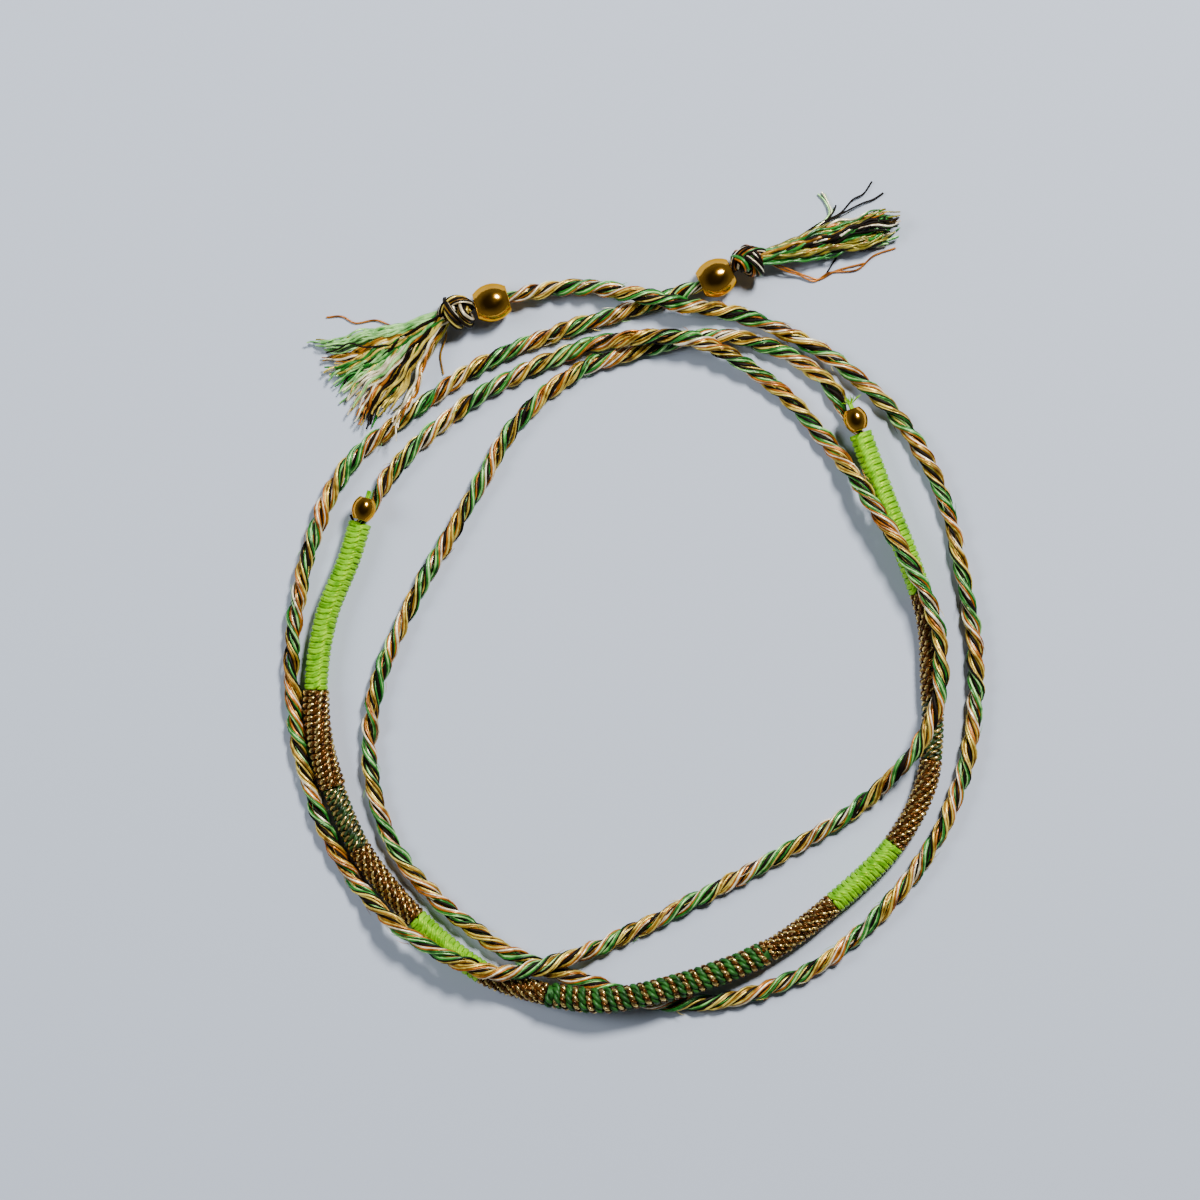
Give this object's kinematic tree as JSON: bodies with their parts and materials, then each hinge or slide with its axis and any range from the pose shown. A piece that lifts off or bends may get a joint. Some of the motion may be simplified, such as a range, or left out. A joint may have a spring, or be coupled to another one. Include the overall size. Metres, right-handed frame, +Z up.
{
  "type": "cord bracelet",
  "caption": "Twisted multicolour cord bracelet laid in loops, with a thread-wound length, brass beads, knotted ends and short tassels.",
  "frame": {"origin": "centre of the laid bracelet's footprint, measured without its two free cords, on the surface it lies on", "axes": "+Z up from the surface, +X right and +Y away as seen from above with the tassels at the back"},
  "size_m": [0.0735, 0.0849, 0.0045],
  "materials": {
    "twisted_cord": "twisted silky and metallic thread",
    "neon_thread": "wound bright thread",
    "brown_gold_thread": "wound glittering thread",
    "dark_thread": "wound dark thread",
    "green_thread": "wound thread with narrow metallic stripes",
    "brass": "polished"
  },
  "bodies": {
    "root": {"cord_left_bead": "twisted_cord", "cord_right_bead": "twisted_cord", "wrap_core": "twisted_cord", "wrap_01_neon": "neon_thread", "wrap_02_gold": "brown_gold_thread", "wrap_03_dark": "dark_thread", "wrap_04_gold": "brown_gold_thread", "wrap_05_neon": "neon_thread", "wrap_06_gold": "brown_gold_thread", "wrap_07_green": "green_thread", "wrap_08_gold": "brown_gold_thread", "wrap_09_neon": "neon_thread", "wrap_10_gold": "brown_gold_thread", "wrap_11_dark": "dark_thread", "wrap_12_gold": "brown_gold_thread", "wrap_13_neon": "neon_thread", "small_bead_left": "brass", "small_bead_right": "brass", "bead_thread_left": "neon_thread", "bead_thread_right": "neon_thread", "large_bead_left": "brass", "large_bead_right": "brass", "knot_left": "twisted_cord", "knot_right": "twisted_cord", "tassel_left": "twisted_cord", "tassel_right": "twisted_cord"}
  },
  "joints": []
}
